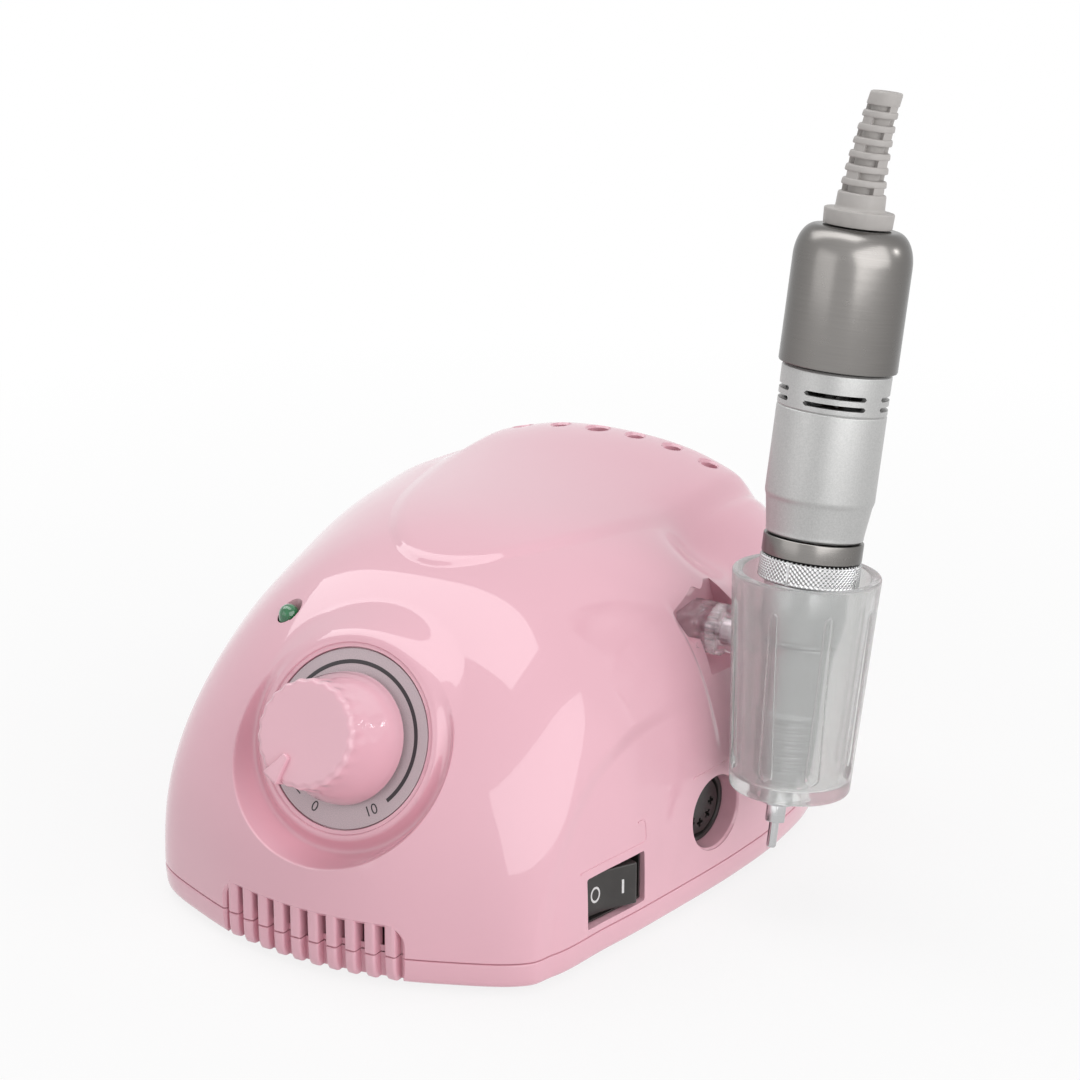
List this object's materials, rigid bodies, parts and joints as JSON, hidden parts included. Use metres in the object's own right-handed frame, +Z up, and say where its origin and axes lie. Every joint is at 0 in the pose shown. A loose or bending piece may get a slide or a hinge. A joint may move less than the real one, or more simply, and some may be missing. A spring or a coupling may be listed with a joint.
{
  "type": "electric nail drill",
  "caption": "Electric nail drill: a rounded control box with a speed knob, a power rocker and a motor socket, and a slim handpiece standing in a tilting side cradle cup.",
  "frame": {"origin": "centre of the footprint of the whole drill, at the table", "axes": "+Z up; the dial faces -Y; the power switch, motor socket and cradle are on the +X side"},
  "size_m": [0.1654, 0.1686, 0.1955],
  "materials": {
    "pink_plastic": "glossy pale pink moulded plastic",
    "foot_rubber": "matt black rubber",
    "steel": "turned bright steel",
    "dial_plate": "satin grey plate with a printed dark arc and plain numbers",
    "aluminium": "plain aluminium",
    "green_lens": "clear green lens",
    "black_plastic": "black moulded plastic",
    "laminations": "varnished steel laminations",
    "copper_winding": "enamelled copper wire",
    "circuit_board": "green solder-masked board",
    "capacitor_sleeve": "dark blue shrink sleeve",
    "clear_plastic": "clear moulded plastic with a faint pink cast",
    "frosted_plastic": "frosted translucent plastic",
    "silver_metal": "fine blasted silver anodised",
    "dark_nickel": "satin dark nickel",
    "relief_rubber": "light warm grey flexible plastic"
  },
  "bodies": {
    "case": {"base_shell": "pink_plastic", "upper_shell": "pink_plastic", "foot_1": "foot_rubber", "foot_2": "foot_rubber", "foot_3": "foot_rubber", "foot_4": "foot_rubber", "case_screw_1": "steel", "case_screw_2": "steel", "case_screw_3": "steel", "case_screw_4": "steel", "dial_plate": "dial_plate", "speed_potentiometer": "aluminium", "potentiometer_nut": "steel", "power_lamp": "green_lens", "power_switch_body": "black_plastic", "direction_switch_body": "black_plastic", "motor_socket": "black_plastic", "mains_inlet": "black_plastic", "fuse_holder": "black_plastic", "pedal_jack": "black_plastic", "transformer_core": "laminations", "transformer_winding": "copper_winding", "transformer_bracket": "steel", "transformer_screw_1": "steel", "transformer_screw_2": "steel", "control_board": "circuit_board", "filter_capacitor": "capacitor_sleeve", "heat_sink": "aluminium", "cradle_hub": "clear_plastic", "cradle_screw": "steel"},
    "dial": {"speed_knob": "pink_plastic", "potentiometer_shaft": "aluminium"},
    "power_key": {"power_rocker": "black_plastic"},
    "direction_key": {"direction_rocker": "black_plastic"},
    "cradle": {"cradle_arm": "clear_plastic", "cradle_cup": "frosted_plastic"},
    "handpiece": {"motor_sleeve": "silver_metal", "rear_cap": "dark_nickel", "strain_relief": "relief_rubber", "front_grip": "silver_metal", "spacer_ring": "steel", "nose_cap": "steel", "motor_can": "steel", "brush_plate": "black_plastic", "rear_bearing": "steel", "front_bearing": "steel"},
    "lock": {"lock_ring": "steel"},
    "rotor": {"spindle": "steel", "collet": "steel", "motor_armature": "copper_winding", "cooling_fan": "black_plastic"},
    "bit": {"bit_shank": "steel"}
  },
  "joints": [
    {"name": "speed_dial", "type": "hinge", "parent": "case", "child": "dial", "pos_m": [-0.01601, -0.05968, 0.0514], "axis": [0, 0.9078, -0.4194], "range_deg": [0, 280]},
    {"name": "power_switch", "type": "hinge", "parent": "case", "child": "power_key", "pos_m": [0.03565, -0.03412, 0.0164], "axis": [0, 0, 1], "range_deg": [0, 25]},
    {"name": "direction_switch", "type": "hinge", "parent": "case", "child": "direction_key", "pos_m": [-0.06767, -0.03412, 0.0164], "axis": [0, 0, 1], "range_deg": [0, 25]},
    {"name": "cradle_tilt", "type": "hinge", "parent": "case", "child": "cradle", "pos_m": [0.0397, 0.01662, 0.0633], "axis": [1, 0, 0], "range_deg": [-35, 15]},
    {"name": "handpiece_lift", "type": "slide", "parent": "cradle", "child": "handpiece", "axis": [0.0087, 0.2283, 0.9735], "range_m": [0, 0.095]},
    {"name": "lock_turn", "type": "hinge", "parent": "handpiece", "child": "lock", "pos_m": [0.06499, 0.01742, 0.0921], "axis": [0.0087, 0.2283, 0.9735], "range_deg": [0, 40]},
    {"name": "spindle_spin", "type": "hinge", "parent": "handpiece", "child": "rotor", "pos_m": [0.06499, 0.01742, 0.0921], "axis": [0.0087, 0.2283, 0.9735], "continuous": true},
    {"name": "bit_pull", "type": "slide", "parent": "rotor", "child": "bit", "axis": [-0.0087, -0.2283, -0.9735], "range_m": [0, 0.012]}
  ]
}
